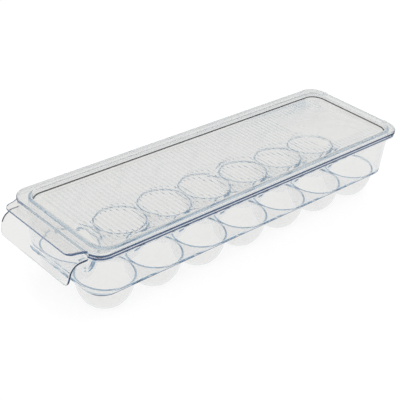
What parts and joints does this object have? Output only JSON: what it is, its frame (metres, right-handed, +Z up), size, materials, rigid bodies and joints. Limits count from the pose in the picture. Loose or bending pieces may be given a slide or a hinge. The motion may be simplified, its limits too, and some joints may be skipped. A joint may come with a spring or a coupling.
{
  "type": "egg keeper with flip lid",
  "caption": "Clear egg tray with two rows of round cups under its floor, a pull handle at one end and a ribbed flip lid hinged at the other.",
  "frame": {"origin": "under the middle of the whole object, on the surface that the egg cups stand on", "axes": "+X along the object from the pull handle to the hinge, +Z up, +Y across towards the back row of cups"},
  "size_m": [0.371, 0.11, 0.0728],
  "materials": {
    "clear_tray": "clear injection-moulded plastic, glossy",
    "clear_lid": "clear injection-moulded plastic, glossy"
  },
  "bodies": {
    "tray": {"tray_rim": "clear_tray", "tray_floor": "clear_tray", "front_side_wall": "clear_tray", "back_side_wall": "clear_tray", "handle_end_wall": "clear_tray", "hinge_end_wall": "clear_tray", "pull_handle": "clear_tray", "hinge_ears": "clear_tray", "egg_cup_front_1": "clear_tray", "egg_cup_front_2": "clear_tray", "egg_cup_front_3": "clear_tray", "egg_cup_front_4": "clear_tray", "egg_cup_front_5": "clear_tray", "egg_cup_front_6": "clear_tray", "egg_cup_front_7": "clear_tray", "egg_cup_back_1": "clear_tray", "egg_cup_back_2": "clear_tray", "egg_cup_back_3": "clear_tray", "egg_cup_back_4": "clear_tray", "egg_cup_back_5": "clear_tray", "egg_cup_back_6": "clear_tray", "egg_cup_back_7": "clear_tray"},
    "lid": {"lid_rim": "clear_lid", "lid_panel": "clear_lid", "lid_finger_tab": "clear_lid", "lid_hinge_pins": "clear_lid"}
  },
  "joints": [
    {"name": "lid_hinge", "type": "hinge", "parent": "tray", "child": "lid", "pos_m": [0.18445, 0, 0.0711], "axis": [0, 1, 0], "range_deg": [0, 95]}
  ]
}
